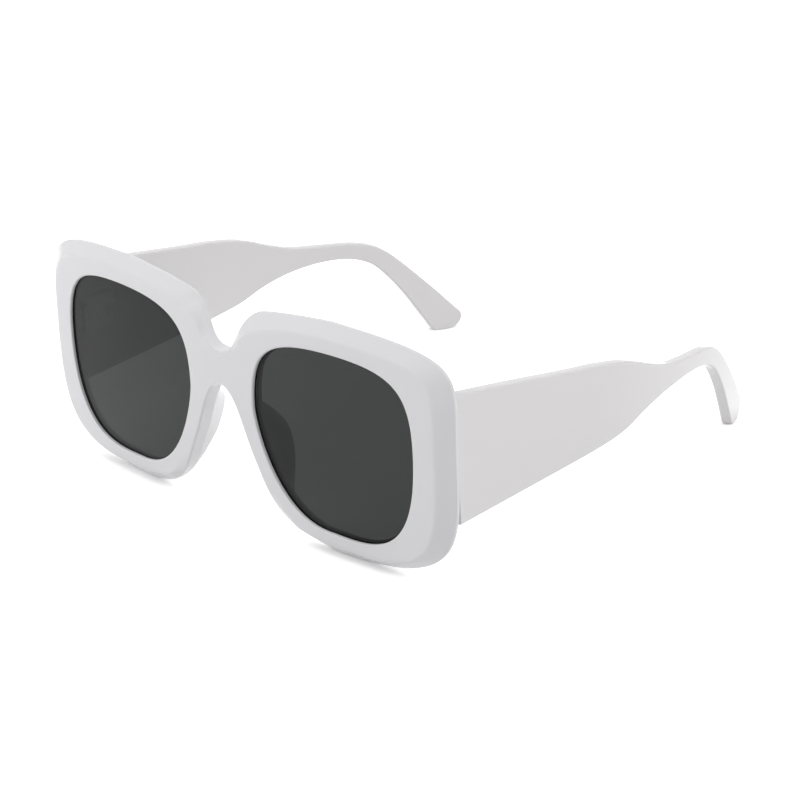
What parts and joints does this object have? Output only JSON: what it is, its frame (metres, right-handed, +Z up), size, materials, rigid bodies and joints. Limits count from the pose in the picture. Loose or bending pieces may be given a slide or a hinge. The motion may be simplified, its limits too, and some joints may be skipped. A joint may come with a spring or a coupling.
{
  "type": "oversized sunglasses",
  "caption": "Oversized square sunglasses with a thick bevelled front, tinted lenses, moulded nose pads and wide plate temples that fold on barrel hinges.",
  "frame": {"origin": "on the table under the middle of the bounding box, with the temples open", "axes": "+X to the wearer's left, +Y back to the temple tips, +Z up"},
  "size_m": [0.1474, 0.1526, 0.0632],
  "materials": {
    "front_white": "polished white acetate",
    "temple_white": "polished white acetate",
    "lens_smoke": "smoke grey tint, polished",
    "hinge_steel": "nickel silver, satin",
    "screw_steel": "bright steel",
    "wire_steel": "drawn wire, plain"
  },
  "bodies": {
    "front": {"front_frame": "front_white", "left_lens": "lens_smoke", "right_lens": "lens_smoke", "left_nose_pad": "front_white", "right_nose_pad": "front_white", "left_front_hinge": "hinge_steel", "right_front_hinge": "hinge_steel", "left_front_hinge_screws": "screw_steel", "right_front_hinge_screws": "screw_steel", "left_hinge_screw": "screw_steel", "right_hinge_screw": "screw_steel"},
    "left_temple": {"left_temple": "temple_white", "left_temple_hinge": "hinge_steel", "left_temple_hinge_screws": "screw_steel", "left_core_wire": "wire_steel"},
    "right_temple": {"right_temple": "temple_white", "right_temple_hinge": "hinge_steel", "right_temple_hinge_screws": "screw_steel", "right_core_wire": "wire_steel"}
  },
  "joints": [
    {"name": "left_temple_fold", "type": "hinge", "parent": "front", "child": "left_temple", "pos_m": [0.06613, -0.0648, 0.036], "axis": [0, 0, 1], "range_deg": [0, 84]},
    {"name": "right_temple_fold", "type": "hinge", "parent": "front", "child": "right_temple", "pos_m": [-0.06613, -0.0648, 0.036], "axis": [0, 0, -1], "range_deg": [0, 48]}
  ]
}
